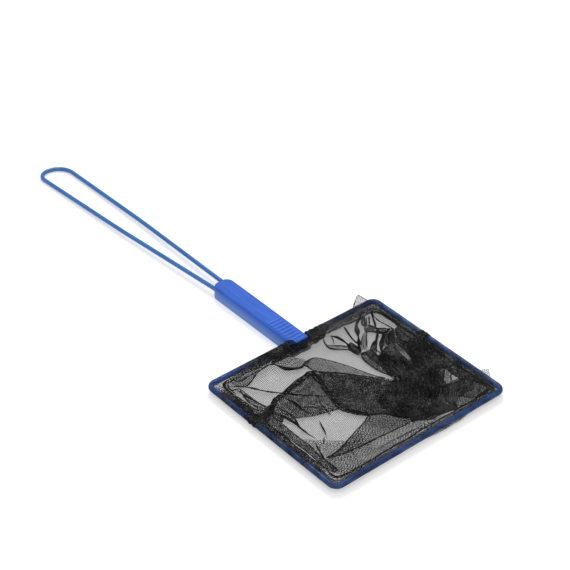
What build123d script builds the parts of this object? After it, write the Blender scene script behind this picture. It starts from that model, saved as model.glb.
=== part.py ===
import os
from math import atan2, cos, hypot, radians, sin, tan

from build123d import *

os.makedirs("parts", exist_ok=True)

# A hand net for an aquarium, lying on a table with its bag fallen flat inside the hoop.
# Two vinyl-coated wires, a hoop and a handle, end side by side in a moulded grip.
# Millimetres. +Y runs from the hoop to the hanging loop, +Z is up, and the origin is on the table
# under the middle of the net.

# Whole net
overall_length = 404.5
hoop_width = 152.0
hoop_depth = 127.0

# Coated wire: a stout one for the hoop and a thinner one for the handle
hoop_core_diameter = 2.8
hoop_coating_wall = 0.48
handle_core_diameter = 2.4
handle_coating_wall = 0.38
core_slack = 0.02
hoop_corner_radius = 5.0

# Moulded grip
grip_width = 15.5
grip_length = 85.5
grip_height = 10.0
grip_nose = 6.5
grip_tail_radius = 6.0
grip_nose_radius = 1.5
grip_top_round = 1.6
grip_foot_round = 0.8
channel_slack = 0.03

# Thumb ribs moulded across the top of the grip
rib_count = 8
rib_pitch = 3.2
rib_length = 11.6
rib_width = 1.5
rib_height = 0.4
rib_round = 0.25
rib_setback = 4.4

# Wire ends inside the grip
hoop_tail_spacing = 5.0
hoop_tail_length = 30.0
hoop_tail_bend = 4.2
handle_tail_length = 36.0

# Handle legs and hanging loop
leg_spacing = 9.2
leg_exit_bend = 60.0
leg_bow = 1.3
leg_bow_bend = 1100.0
loop_width = 23.1
loop_lean = 5.65
loop_tip_shift = 2.0
loop_end_flat = 0.3

# Mesh casing folded round the hoop and sewn to the mouth of the bag
mesh_ply = 0.27
casing_slack = 0.05
casing_reach = 7.0
thread_diameter = 0.4
thread_seat = 0.02
thread_inset = 6.3
hem_corner_radius = 3.0

# Gathered ends of the casing on both sides of the grip
gather_length = 26.0
gather_count = 7
gather_valley = 0.25
gather_crest = 0.6

# Tabs where the side seams of the bag are turned round the hoop
tab_length = 9.0
tab_wall = 0.5
tab_slack = 0.05
tab_reach = 5.2
left_tab_y = 15.5
right_tab_y = 11.5

# Bag, lying as a shallow tray
bag_ply = 0.5
bag_lap = 0.3
bag_slope_run = 12.0
bag_corner_radius = 3.3

# Side seams of the bag, lying where it has fallen; each route is in shares of the bag's floor,
# from the middle of the hoop to the edge of the floor
seam_diameter = 1.2
seam_seat = 0.02
seam_rim_gap = 1.0
seam_bend_share = 0.4
left_seam_route = [
    (-0.92, 0.58), (-0.54, 0.68), (-0.18, 0.77), (-0.18, 0.40), (-0.29, -0.19), (-0.11, -0.56), (0.07, -0.88)
]
right_seam_route = [(0.85, 0.07), (0.66, -0.30), (0.45, -0.62), (0.20, -0.75)]

# Radii and heights that follow from the sizes above
hoop_core_radius = hoop_core_diameter / 2
hoop_coating_bore = hoop_core_radius + core_slack
hoop_wire_radius = hoop_coating_bore + hoop_coating_wall
handle_core_radius = handle_core_diameter / 2
handle_coating_bore = handle_core_radius + core_slack
handle_wire_radius = handle_coating_bore + handle_coating_wall
casing_bore = hoop_wire_radius + casing_slack
casing_radius = casing_bore + mesh_ply
wire_z = grip_height / 2

# Centre lines of the hoop rails, and the ends of the grip
hoop_y = (hoop_depth - overall_length) / 2
rail_x = hoop_width / 2 - casing_radius
rail_y = hoop_depth / 2 - casing_radius
rear_rail_y = hoop_y + rail_y
grip_front_y = rear_rail_y - grip_nose
grip_rear_y = grip_front_y + grip_length
casing_end_x = grip_width / 2 + gather_length

# The handle slopes from mid-height of the grip until the end of its loop lies on the table
handle_run = overall_length / 2 - handle_wire_radius - grip_rear_y
handle_drop = wire_z - handle_wire_radius
handle_slope = atan2(handle_drop, handle_run)
handle_reach = hypot(handle_run, handle_drop)
handle_plane = Plane(
    origin=(0, grip_rear_y, wire_z),
    x_dir=(1, 0, 0),
    z_dir=(0, sin(handle_slope), cos(handle_slope)),
)


def turn_at(before, corner, after):
    """Angle in radians by which a route turns at a corner."""
    arriving = Vector(*corner) - Vector(*before)
    leaving = Vector(*after) - Vector(*corner)
    return radians(arriving.get_angle(leaving))


def round_section(path, radius, bore=0.0):
    """A disc, or a ring where a bore is given, square to the start of a path."""
    with BuildSketch(Plane(origin=path @ 0, z_dir=path % 0)) as section:
        Circle(radius)
        if bore:
            Circle(bore, mode=Mode.SUBTRACT)
    return section.sketch


def rail_points(inset, end_x):
    """Corners of a line that runs round the hoop inside its rails and stops beside the grip."""
    x = rail_x - inset
    y = rail_y - inset
    corners = [(-end_x, y), (-x, y), (-x, -y), (x, -y), (x, y), (end_x, y)]
    return [(px, hoop_y + py, wire_z) for px, py in corners]


# Centre line of the hoop wire: its two ends turn into the grip and lie side by side
tail_x = hoop_tail_spacing / 2
tail_end_y = rear_rail_y + hoop_tail_length
hoop_corners = rail_points(0, tail_x)
with BuildLine() as hoop_line:
    FilletPolyline(
        (-tail_x, tail_end_y, wire_z),
        *hoop_corners,
        (tail_x, tail_end_y, wire_z),
        radius=[hoop_tail_bend] + [hoop_corner_radius] * 4 + [hoop_tail_bend],
    )
hoop_path = hoop_line.wire()

# Centre line of the handle wire, in its sloping plane: out of the grip, round the loop and back
leg_x = leg_spacing / 2
loop_left = (-loop_lean - loop_width / 2, handle_reach)
loop_right = (-loop_lean + loop_width / 2, handle_reach)
left_bow = ((loop_left[0] - leg_x) / 2 - leg_bow, handle_reach / 2)
right_bow = ((loop_right[0] + leg_x) / 2 + leg_bow, handle_reach / 2)
left_shoulder = (loop_width - loop_end_flat) / 2 - loop_tip_shift
right_shoulder = (loop_width - loop_end_flat) / 2 + loop_tip_shift
left_loop_radius = left_shoulder / tan(turn_at(left_bow, loop_left, loop_right) / 2)
right_loop_radius = right_shoulder / tan(turn_at(loop_left, loop_right, right_bow) / 2)
leg_bends = [leg_exit_bend, leg_bow_bend]
with BuildLine(handle_plane) as handle_line:
    FilletPolyline(
        (-leg_x, -handle_tail_length),
        (-leg_x, 0),
        left_bow,
        loop_left,
        loop_right,
        right_bow,
        (leg_x, 0),
        (leg_x, -handle_tail_length),
        radius=leg_bends + [left_loop_radius, right_loop_radius] + leg_bends[::-1],
    )
handle_path = handle_line.wire()

# Hoop: a spring-steel wire bent to a rectangle, and the vinyl drawn over it
with BuildPart() as hoop_wire:
    sweep(round_section(hoop_path, hoop_core_radius), path=hoop_path)

with BuildPart() as hoop_coating:
    sweep(round_section(hoop_path, hoop_wire_radius, hoop_coating_bore), path=hoop_path)

# Handle: a second wire bent to a long loop, coated in the same way
with BuildPart() as handle_wire:
    sweep(round_section(handle_path, handle_core_radius), path=handle_path)

with BuildPart() as handle_coating:
    sweep(round_section(handle_path, handle_wire_radius, handle_coating_bore), path=handle_path)

# Grip: a solid moulding with channels that hold the four wire ends
with BuildPart() as grip:
    with BuildSketch() as grip_plan:
        with Locations((0, (grip_front_y + grip_rear_y) / 2)):
            Rectangle(grip_width, grip_length)
        fillet(grip_plan.vertices().group_by(Axis.Y)[-1], radius=grip_tail_radius)
        fillet(grip_plan.vertices().group_by(Axis.Y)[0], radius=grip_nose_radius)
    extrude(amount=grip_height)
    fillet(grip.edges().group_by(Axis.Z)[-1], radius=grip_top_round)
    fillet(grip.edges().group_by(Axis.Z)[0], radius=grip_foot_round)
    rib_middle_y = grip_front_y + rib_setback + (rib_count - 1) * rib_pitch / 2
    with BuildSketch(Plane.XY.offset(grip_height)):
        with Locations((0, rib_middle_y)):
            with GridLocations(0, rib_pitch, 1, rib_count):
                SlotOverall(rib_length, rib_width)
    extrude(amount=rib_height)
    fillet(grip.edges().group_by(Axis.Z)[-1], radius=rib_round)
    for path, wire_radius in ((hoop_path, hoop_wire_radius), (handle_path, handle_wire_radius)):
        sweep(round_section(path, wire_radius + channel_slack), path=path, mode=Mode.SUBTRACT)

# Casing: a strip of mesh folded round the hoop, its two edges laid together towards the bag
with BuildLine() as casing_line:
    FilletPolyline(*rail_points(0, casing_end_x), radius=hoop_corner_radius)
casing_path = casing_line.wire()
hem_thickness = 2 * mesh_ply
with BuildPart() as hem_casing:
    sweep(round_section(casing_path, casing_radius), path=casing_path)
    with BuildSketch(Plane((0, hoop_y, wire_z))):
        RectangleRounded(2 * rail_x, 2 * rail_y, hoop_corner_radius)
        RectangleRounded(2 * (rail_x - casing_reach), 2 * (rail_y - casing_reach), hem_corner_radius,
                         mode=Mode.SUBTRACT)
        with Locations((0, rail_y)):
            Rectangle(2 * casing_end_x, 3 * casing_reach, mode=Mode.SUBTRACT)
    extrude(amount=hem_thickness / 2, both=True)
    sweep(round_section(casing_path, casing_bore), path=casing_path, mode=Mode.SUBTRACT)

# Sewing thread along the inner edge of the casing
with BuildLine(Plane.XY.offset(hem_thickness / 2 + thread_diameter / 2 + thread_seat)) as thread_line:
    FilletPolyline(*rail_points(thread_inset, casing_end_x), radius=hem_corner_radius)
thread_path = thread_line.wire()
with BuildPart() as hem_thread:
    sweep(round_section(thread_path, thread_diameter / 2), path=thread_path)

# Gathered ends of the casing: a row of soft pleats round the rear rail, with the sewn edge beside it
gather_step = gather_length / gather_count
valley_radius = casing_radius + gather_valley
crest_radius = casing_radius + gather_crest
gather_middle_x = (grip_width + gather_length) / 2
with BuildPart() as hem_gather_right:
    with BuildSketch(Plane(origin=(grip_width / 2, rear_rail_y, wire_z), x_dir=(1, 0, 0), z_dir=(0, -1, 0))):
        with BuildLine():
            Polyline(
                (gather_length, valley_radius), (gather_length, casing_bore), (0, casing_bore), (0, valley_radius)
            )
            for pleat in range(gather_count):
                ThreePointArc(
                    (pleat * gather_step, valley_radius),
                    ((pleat + 0.5) * gather_step, crest_radius),
                    ((pleat + 1) * gather_step, valley_radius),
                )
        make_face()
    revolve(axis=Axis((0, rear_rail_y, wire_z), (1, 0, 0)))
    with BuildSketch(Plane((gather_middle_x, rear_rail_y - casing_reach / 2, wire_z))):
        Rectangle(gather_length, casing_reach)
    extrude(amount=hem_thickness / 2, both=True)
    with Locations((gather_middle_x, rear_rail_y, wire_z)):
        Cylinder(casing_bore, gather_length, rotation=(0, 90, 0), mode=Mode.SUBTRACT)

with BuildPart() as hem_gather_left:
    mirror(hem_gather_right.part, about=Plane.YZ)

# Bag: mesh hanging from the underside of the casing and lying on the table
rim_z = wire_z - hem_thickness / 2
rim_x = rail_x - casing_reach + bag_lap
rim_y = rail_y - casing_reach + bag_lap
floor_x = rim_x - bag_slope_run
floor_y = rim_y - bag_slope_run
with BuildPart() as net_bag:
    for lift, fill in ((0, Mode.ADD), (bag_ply, Mode.SUBTRACT)):
        with BuildSketch(Plane((0, hoop_y, lift))) as bag_floor:
            RectangleRounded(2 * floor_x, 2 * floor_y, bag_corner_radius)
        with BuildSketch(Plane((0, hoop_y, rim_z + lift))) as bag_rim:
            RectangleRounded(2 * rim_x, 2 * rim_y, bag_corner_radius)
        loft([bag_floor.sketch, bag_rim.sketch], mode=fill)


def seam_line(side, tab_y, route):
    """Centre line of a side seam: down the bag's end wall from the hoop, then along its floor."""
    slope = atan2(rim_z, bag_slope_run)
    rise = seam_diameter / 2 + seam_seat
    top_x = rim_x - seam_rim_gap
    top_z = bag_ply + (top_x - floor_x) * tan(slope) + rise / cos(slope)
    foot_x = floor_x - rise * tan(slope / 2)
    floor_z = bag_ply + rise
    y = hoop_y + tab_y
    points = [(side * top_x, y, top_z), (side * foot_x, y, floor_z)]
    points += [(share_x * floor_x, hoop_y + share_y * floor_y, floor_z) for share_x, share_y in route]
    bends = []
    for before, corner, after in zip(points, points[1:], points[2:]):
        shorter = min((Vector(*corner) - Vector(*end)).length for end in (before, after))
        bends.append(seam_bend_share * shorter / tan(turn_at(before, corner, after) / 2))
    with BuildLine() as line:
        FilletPolyline(*points, radius=bends)
    return line.wire()


# Overlocked side seams of the bag
left_seam_path = seam_line(-1, left_tab_y, left_seam_route)
with BuildPart() as side_seam_left:
    sweep(round_section(left_seam_path, seam_diameter / 2), path=left_seam_path)

right_seam_path = seam_line(1, right_tab_y, right_seam_route)
with BuildPart() as side_seam_right:
    sweep(round_section(right_seam_path, seam_diameter / 2), path=right_seam_path)


def tab_section(plane):
    """The folded outline of a seam tab: a ring round the casing with two leaves along its sewn edge."""
    gap = hem_thickness + 2 * tab_slack
    with BuildSketch(plane) as section:
        Circle(casing_radius + tab_slack + tab_wall)
        with Locations((tab_reach / 2, 0)):
            Rectangle(tab_reach, gap + 2 * tab_wall)
            Rectangle(tab_reach, gap, mode=Mode.SUBTRACT)
        Circle(casing_radius + tab_slack, mode=Mode.SUBTRACT)
    return section.sketch


# Seam tabs: the ends of the side seams folded over the left and right rails
left_tab_plane = Plane(origin=(-rail_x, hoop_y + left_tab_y, wire_z), x_dir=(1, 0, 0), z_dir=(0, 1, 0))
with BuildPart() as seam_tab_left:
    extrude(tab_section(left_tab_plane), amount=tab_length / 2, both=True)

right_tab_plane = Plane(origin=(rail_x, hoop_y + right_tab_y, wire_z), x_dir=(-1, 0, 0), z_dir=(0, 1, 0))
with BuildPart() as seam_tab_right:
    extrude(tab_section(right_tab_plane), amount=tab_length / 2, both=True)

pieces = {
    "hoop_wire": hoop_wire,
    "hoop_coating": hoop_coating,
    "handle_wire": handle_wire,
    "handle_coating": handle_coating,
    "grip": grip,
    "hem_casing": hem_casing,
    "hem_thread": hem_thread,
    "hem_gather_left": hem_gather_left,
    "hem_gather_right": hem_gather_right,
    "net_bag": net_bag,
    "side_seam_left": side_seam_left,
    "side_seam_right": side_seam_right,
    "seam_tab_left": seam_tab_left,
    "seam_tab_right": seam_tab_right,
}
for name, piece in pieces.items():
    piece.part.label = name
    export_step(piece.part, f"parts/{name}.step")
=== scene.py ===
import math

import bpy
import numpy as np
from mathutils import Matrix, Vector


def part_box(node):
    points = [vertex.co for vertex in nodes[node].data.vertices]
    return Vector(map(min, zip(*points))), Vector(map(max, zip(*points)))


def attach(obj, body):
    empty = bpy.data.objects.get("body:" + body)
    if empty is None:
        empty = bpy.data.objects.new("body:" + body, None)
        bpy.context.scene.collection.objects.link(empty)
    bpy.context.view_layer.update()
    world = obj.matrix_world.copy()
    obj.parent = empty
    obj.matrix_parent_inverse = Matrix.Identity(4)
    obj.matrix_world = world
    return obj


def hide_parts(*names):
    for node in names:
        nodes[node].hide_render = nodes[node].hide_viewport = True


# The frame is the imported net, in metres: +Y runs along the handle, +Z is up and the table is at zero.
# Cloth is worked out in millimetres from the middle of the hoop and set into the frame at the end.
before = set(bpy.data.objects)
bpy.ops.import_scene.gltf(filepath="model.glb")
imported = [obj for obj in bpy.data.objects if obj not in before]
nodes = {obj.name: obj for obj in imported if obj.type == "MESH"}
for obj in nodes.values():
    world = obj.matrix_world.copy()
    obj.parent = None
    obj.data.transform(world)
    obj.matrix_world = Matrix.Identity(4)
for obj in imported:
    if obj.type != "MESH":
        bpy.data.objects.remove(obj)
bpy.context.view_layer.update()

# The photograph's view: a long lens above the front left side of the hoop, turned a little on its axis.
# The angles, the distance and the aim were fitted to the corners of the hoop.
lens_mm = 107.15
sensor_mm = 36.0
view_azimuth = math.radians(-42.382)
view_elevation = math.radians(36.682)
view_roll = math.radians(2.456)
view_distance = 1.19649
view_aim = np.array([0.04125, -0.02096, 0.0])

back = np.array([
    math.sin(view_azimuth) * math.cos(view_elevation),
    -math.cos(view_azimuth) * math.cos(view_elevation),
    math.sin(view_elevation),
])
level_right = np.array([math.cos(view_azimuth), math.sin(view_azimuth), 0.0])
level_up = np.cross(back, level_right)
right = math.cos(view_roll) * level_right + math.sin(view_roll) * level_up
up = math.cos(view_roll) * level_up - math.sin(view_roll) * level_right
camera = bpy.data.objects.new("camera", bpy.data.cameras.new("camera"))
camera.data.lens = lens_mm
camera.data.sensor_width = sensor_mm
stand = np.eye(4)
stand[:3, :3] = np.column_stack([right, up, back])
stand[:3, 3] = view_aim + view_distance * back
camera.matrix_world = Matrix(stand.tolist())
bpy.context.collection.objects.link(camera)
bpy.context.scene.camera = camera

# Studio: a plain white table that keeps the net's soft shadow, a large lamp behind the right side of the
# net with a narrow strip lamp before it, a lamp in front for the gloss, and an even white room.
floor_half = 4.0
floor_drop = 0.0001
floor_white = 0.72
floor_lift = 0.43
key_watts = 7.5
key_size = (0.75, 0.75)
key_place = np.array([0.62, 0.70, 1.42])
strip_watts = 2.4
strip_size = (0.46, 0.12)
strip_place = np.array([0.52, 0.62, 1.20])
front_watts = 3.0
front_size = (0.40, 0.40)
front_place = np.array([-0.45, -0.50, 1.25])
room_light = 0.58
room_mirrored = 0.26


class Shade:
    """A value on a surface: wraps a shader socket, and arithmetic on it adds Math nodes to its material."""

    def __init__(self, socket):
        self.socket = socket
        self.tree = socket.id_data

    def node(self, kind, settings=None, inputs=None, out=0):
        """Adds a node of this kind, sets it up, then fills its sockets with numbers or other values."""
        made = self.tree.nodes.new(kind)
        for name, value in (settings or {}).items():
            if name == "stops":
                ramp = made.color_ramp.elements
                while len(ramp) < len(value):
                    ramp.new(1.0)
                for stop, (place, colour) in zip(ramp, value):
                    stop.position = place
                    stop.color = colour
            else:
                setattr(made, name, value)
        for name, value in (inputs or {}).items():
            if isinstance(value, Shade):
                self.tree.links.new(value.socket, made.inputs[name])
            else:
                made.inputs[name].default_value = value
        return Shade(made.outputs[out])

    def math(self, operation, *others):
        return self.node("ShaderNodeMath", {"operation": operation}, dict(enumerate((self, *others))))

    def __add__(self, other):
        return self.math("ADD", other)

    def __sub__(self, other):
        return self.math("SUBTRACT", other)

    def __rsub__(self, other):
        return self.node("ShaderNodeMath", {"operation": "SUBTRACT"}, {0: other, 1: self})

    def __mul__(self, other):
        return self.math("MULTIPLY", other)

    __radd__ = __add__
    __rmul__ = __mul__

    def colours(self, *stops):
        """A colour that runs through these stops as the value goes from 0 to 1."""
        return self.node("ShaderNodeValToRGB", {"stops": stops}, {0: self})

    def mixed(self, colour, other):
        """A colour that goes from the one to the other as the value goes from 0 to 1."""
        return self.node(
            "ShaderNodeMix", {"data_type": "RGBA"}, {"Factor": self, 6: colour, 7: other}, out=2
        )

    def between(self, low, high):
        """0 to 1 as the value goes from low to high."""
        return self.node("ShaderNodeMapRange", inputs={0: self, 1: low, 2: high})

    def noise(self, scale, detail=2.0):
        """Cloudy unevenness around 0.5 at these coordinates, finer as the scale grows."""
        return self.node("ShaderNodeTexNoise", inputs={"Vector": self, "Scale": scale, "Detail": detail})

    def bump(self, strength, distance):
        """A normal for a surface that stands up by the value times this distance."""
        return self.node(
            "ShaderNodeBump", inputs={"Strength": strength, "Distance": distance, "Height": self}
        )


def new_finish(name, **constants):
    """A material with one Principled shader; returns it, its shader and its Object coordinates."""
    material = bpy.data.materials.new(name)
    material.use_nodes = True
    tree = material.node_tree
    shader = tree.nodes["Principled BSDF"]
    for socket, value in constants.items():
        shader.inputs[socket.replace("_", " ")].default_value = value
    place = Shade(tree.nodes.new("ShaderNodeTexCoord").outputs["Object"])
    return material, shader, place


def feed(shader, **values):
    """Links values to the shader's sockets by name."""
    for socket, value in values.items():
        value.tree.links.new(value.socket, shader.inputs[socket.replace("_", " ")])


floor_mesh = bpy.data.meshes.new("floor")
floor_mesh.from_pydata(
    [(x * floor_half, y * floor_half, -floor_drop) for x, y in ((-1, -1), (1, -1), (1, 1), (-1, 1))],
    [],
    [(0, 1, 2, 3)],
)
floor = bpy.data.objects.new("floor", floor_mesh)
bpy.context.collection.objects.link(floor)
floor_paint, floor_shader, floor_place = new_finish(
    "white_table", Base_Color=(floor_white, floor_white, floor_white, 1.0),
    Roughness=0.9, Specular_IOR_Level=0.1,
)
seen = floor_place.node("ShaderNodeLightPath", out=0)
glossy = Shade(seen.socket.node.outputs["Is Glossy Ray"])
passed = Shade(seen.socket.node.outputs["Is Transmission Ray"])
shown = seen.math("MAXIMUM", glossy).math("MAXIMUM", passed)
glow = floor_place.node(
    "ShaderNodeEmission", inputs={"Color": (1.0, 1.0, 1.0, 1.0), "Strength": shown * floor_lift}
)
table = floor_place.node("ShaderNodeAddShader", inputs={0: Shade(floor_shader.outputs[0]), 1: glow})
floor_paint.node_tree.links.new(
    table.socket, floor_paint.node_tree.nodes["Material Output"].inputs["Surface"]
)
floor_mesh.materials.append(floor_paint)

for lamp_name, watts, size, lamp_place in (
    ("key_lamp", key_watts, key_size, key_place),
    ("strip_lamp", strip_watts, strip_size, strip_place),
    ("front_lamp", front_watts, front_size, front_place),
):
    lamp = bpy.data.objects.new(lamp_name, bpy.data.lights.new(lamp_name, "AREA"))
    lamp.data.energy = watts
    lamp.data.shape = "RECTANGLE"
    lamp.data.size, lamp.data.size_y = size
    aim = lamp_place / np.linalg.norm(lamp_place)
    side = np.cross((0.0, 0.0, 1.0), aim)
    side /= np.linalg.norm(side)
    lamp_stand = np.eye(4)
    lamp_stand[:3, :3] = np.column_stack([side, np.cross(aim, side), aim])
    lamp_stand[:3, 3] = lamp_place
    lamp.matrix_world = Matrix(lamp_stand.tolist())
    bpy.context.collection.objects.link(lamp)

room = bpy.data.worlds.new("white_room")
room.use_nodes = True
room_tree = room.node_tree
room_back = room_tree.nodes["Background"]
room_rays = room_tree.nodes.new("ShaderNodeLightPath").outputs
room_seen = Shade(room_rays["Is Camera Ray"]).math("MAXIMUM", Shade(room_rays["Is Transmission Ray"]))
room_glossy = Shade(room_rays["Is Glossy Ray"])
room_strength = room_seen * (1.0 - room_light) + room_light - room_glossy * (room_light - room_mirrored)
room_back.inputs["Color"].default_value = (1.0, 1.0, 1.0, 1.0)
room_tree.links.new(room_strength.socket, room_back.inputs["Strength"])
bpy.context.scene.world = room
bpy.context.scene.view_settings.view_transform = "Standard"

# Steel cores: two lengths of drawn spring wire, bent cold, that give the hoop and the handle their spring.
# Their coating and the grip hide them quite.
steel_grey = (0.50, 0.51, 0.53, 1.0)
drawn_grain = 900.0


def dress(node, material):
    """Gives a CAD node this material in place of its own."""
    nodes[node].data.materials.clear()
    nodes[node].data.materials.append(material)


steel, steel_shader, steel_place = new_finish("drawn_steel", Base_Color=steel_grey, Metallic=1.0)
feed(steel_shader, Roughness=steel_place.noise(drawn_grain) * 0.2 + 0.25)
for core in ("hoop_wire", "handle_wire"):
    dress(core, steel)

# Vinyl coating: blue PVC drawn over both wires, a deeper dye on the hoop than on the handle. It has a soft
# gloss, a faint ripple from drawing, and small scuffs that are paler and duller than the rest.
vinyl_dyes = {"hoop_coating": (0.050, 0.165, 0.560, 1.0), "handle_coating": (0.052, 0.200, 0.545, 1.0)}
drawn_ripple = 45.0
drawn_depth = 0.0002
scuff_scale = 420.0
scuff_from, scuff_full = 0.64, 0.74
vinyl_roughness = 0.10
for coating, dye in vinyl_dyes.items():
    vinyl, vinyl_shader, vinyl_place = new_finish(f"blue_vinyl_{coating}", Specular_IOR_Level=0.5)
    tone = vinyl_place.noise(drawn_ripple, 3.0)
    scuff = vinyl_place.noise(scuff_scale)
    worn = scuff.between(scuff_from, scuff_full)
    deep, pale = [0.86 * part for part in dye[:3]] + [1.0], [0.05 + part for part in dye[:3]] + [1.0]
    feed(
        vinyl_shader, Base_Color=(worn * 0.5).mixed(tone.colours((0.3, deep), (0.7, dye)), pale),
        Roughness=worn * 0.2 + tone * 0.10 + vinyl_roughness,
        Normal=(tone + scuff * 0.1).bump(0.25, drawn_depth),
    )
    dress(coating, vinyl)

# Grip: one moulding of blue polypropylene with a fine matt spark-eroded grain and faint flow marks along
# it. Its thumb rib crests are rubbed smoother and carry a painted highlight; its sides carry a painted
# sheen, paler than the top.
grip_blue = (0.032, 0.145, 0.690, 1.0)
grip_deep = (0.018, 0.108, 0.560, 1.0)
# A painted highlight for the rib crests and a painted sheen for the sides.
grip_crest_highlight = (0.055, 0.172, 0.700, 1.0)
grip_side_sheen = (0.175, 0.310, 0.760, 1.0)
grip_low, grip_high = (np.array(corner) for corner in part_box("grip"))
spark_grain = 2600.0
spark_depth = 0.0001
cloud_scale = 60.0
flow_scale = (420.0, 25.0, 200.0)
crest_depths = (0.0003, 0.0001)
flank_depths = (0.0010, 0.0070)
plastic_roughness = 0.42
plastic, plastic_shader, plastic_place = new_finish("blue_moulding", Specular_IOR_Level=0.3)
eroded = plastic_place.noise(spark_grain)
cloud = plastic_place.noise(cloud_scale, 4.0)
height = plastic_place.node("ShaderNodeSeparateXYZ", inputs={0: plastic_place}, out=2)
crest, flank = (
    height.between(grip_high[2] - start, grip_high[2] - full)
    for start, full in (crest_depths, flank_depths)
)
along = plastic_place.node("ShaderNodeMapping", inputs={"Vector": plastic_place, "Scale": flow_scale})
flow = along.noise(1.0)
plastic_top = (cloud * 0.4 + flow * 0.6).colours((0.43, grip_deep), (0.58, grip_blue))
# The crests take the painted highlight, the lower sides the painted sheen.
feed(
    plastic_shader, Base_Color=(crest * 0.7).mixed(flank.mixed(plastic_top, grip_side_sheen), grip_crest_highlight),
    Roughness=eroded * 0.16 + cloud * 0.1 + plastic_roughness - crest * 0.06,
    Normal=(eroded + cloud * 0.4).bump(0.35, spark_depth),
)
dress("grip", plastic)

# Hem casing: a strip of the bag's own mesh folded round the hoop wire, so that the blue shows through
# it, and sewn shut a little inside the wire. It puckers at the stitches, is drawn narrower along the front
# rail, where some of it hangs loose below the wire, and spreads at the rear right corner.
casing_low, casing_high = (np.array(corner) * 1000 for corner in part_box("hem_casing"))
hoop_middle = (casing_low + casing_high) / 2
sleeve_radius = (casing_high[2] - casing_low[2]) / 2
rail_x, rail_y = (casing_high - hoop_middle)[:2] - sleeve_radius
wire_height = hoop_middle[2]
grip_half = (grip_high[0] - grip_low[0]) * 500
hoop_corner = 5.0
hem_corner = 4.5
casing_reach = 6.6
mesh_pitch = 1.0
mesh_thread = 0.240
thread_reach = 0.57
thread_join = 0.12
net_black = (0.006, 0.006, 0.006, 1.0)
net_grey = (0.016, 0.016, 0.017, 1.0)
# The pale grey is a painted sheen on the threads.
net_sheen = (0.085, 0.085, 0.087, 1.0)

flat_x, flat_y = rail_x - hoop_corner, rail_y - hoop_corner
quarter = math.pi / 2 * hoop_corner
hoop_marks = np.cumsum(
    [0, flat_x, quarter, 2 * flat_y, quarter, 2 * flat_x, quarter, 2 * flat_y, quarter, flat_x]
)
hoop_steps = np.array([0.5, 1, 2, 3, 4, 5, 6, 7, 8, 8.5])
hoop_length = hoop_marks[-1]


def beside_hoop(run, inset):
    """Places beside the hoop wire: run along it from the middle of the rear rail, inset towards the bag.

    Each inset has a rounded rectangle of its own, with straight rails between quarter circles:
    flat * (sign x, sign y) + radius * (cos(t), sin(t)).
    """
    run, inset = np.broadcast_arrays(run, inset)
    within = hoop_corner + (hem_corner - hoop_corner) * inset / casing_reach
    radius = np.where(inset < 0, hoop_corner - inset, within)
    flat = np.stack([rail_x - inset - radius, rail_y - inset - radius], axis=-1)

    def turned(corner, part):
        diagonal = math.pi / 2 * (1.5 + corner)
        angle = math.pi / 2 * (1 + corner + part)
        middle = flat * np.sign(np.stack([np.cos(diagonal), np.sin(diagonal)], axis=-1))
        return middle + radius[..., None] * np.stack([np.cos(angle), np.sin(angle)], axis=-1)

    step = np.interp(run, hoop_marks, hoop_steps)
    corner = np.floor(step / 2)
    part = step - 2 * corner
    start = turned(corner - 1, 1.0)
    end = turned(corner, np.clip(part - 1, 0, 1))
    return start + (end - start) * np.clip(part, 0, 1)[..., None]


def ripple(x, y, length, seed):
    """Smooth unevenness of about -1 to 1: six plane waves of this length, sum(sin(k.p + phase)) / 2.5."""
    chance = np.random.default_rng(seed)
    angle = chance.uniform(0, 2 * math.pi, 6)
    wave = 2 * math.pi / (length * chance.uniform(0.7, 1.5, 6))
    phase = chance.uniform(0, 2 * math.pi, 6)
    x, y = np.asarray(x)[..., None], np.asarray(y)[..., None]
    return np.sin(wave * (x * np.cos(angle) + y * np.sin(angle)) + phase).sum(axis=-1) / 2.5


def hump(value, low, high, edge):
    """1 between low and high, falling smoothly to 0 within edge outside them."""
    rise = np.clip((value - low) / edge + 1, 0, 1) * np.clip((high - value) / edge + 1, 0, 1)
    return rise * rise * (3 - 2 * rise)


def length_along(line):
    """Distance along a line, from its start to each of its points."""
    return np.concatenate([[0.0], np.cumsum(np.linalg.norm(np.diff(line, axis=0), axis=1))])


def grid_faces(rows, columns, closed=False):
    """Four-cornered faces of a grid of points, row by row; closed joins the last column to the first."""
    row, column = np.meshgrid(np.arange(rows - 1), np.arange(columns - (not closed)), indexing="ij")
    here, after = row * columns + column, row * columns + (column + 1) % columns
    return np.stack([here, after, after + columns, here + columns], axis=-1).reshape(-1, 4)


def layer(x, y, z, u, v, share, closed=False):
    """One layer of cloth from grids of places, of UV in mm and of thread share."""
    points = np.stack([x, y, z], axis=-1).reshape(-1, 3)
    cells = np.stack([u, v], axis=-1).reshape(-1, 2) / mesh_pitch
    return points, grid_faces(*x.shape, closed=closed), cells, np.broadcast_to(share, x.shape).ravel()


def new_cloth(name, layers, material, replaced):
    """One piece from layers in mm from the hoop's middle; it rides on the net and replaces CAD nodes."""
    starts = np.cumsum([0] + [len(points) for points, *_ in layers[:-1]])
    points = np.vstack([part[0] for part in layers])
    faces = np.vstack([part[1] + start for part, start in zip(layers, starts)])
    uv = np.vstack([part[2] for part in layers])
    share = np.concatenate([part[3] for part in layers])
    mesh = bpy.data.meshes.new(name)
    mesh.from_pydata(((points + (hoop_middle[0], hoop_middle[1], 0.0)) / 1000).tolist(), [], faces.tolist())
    mesh.uv_layers.new(name="cells").data.foreach_set("uv", uv[faces.ravel()].ravel())
    mesh.attributes.new("thread_share", "FLOAT", "POINT").data.foreach_set("value", share)
    mesh.shade_smooth()
    mesh.materials.append(material)
    piece = bpy.data.objects.new(name, mesh)
    bpy.context.collection.objects.link(piece)
    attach(piece, "root")
    if replaced:
        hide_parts(*replaced)
    return piece


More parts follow.
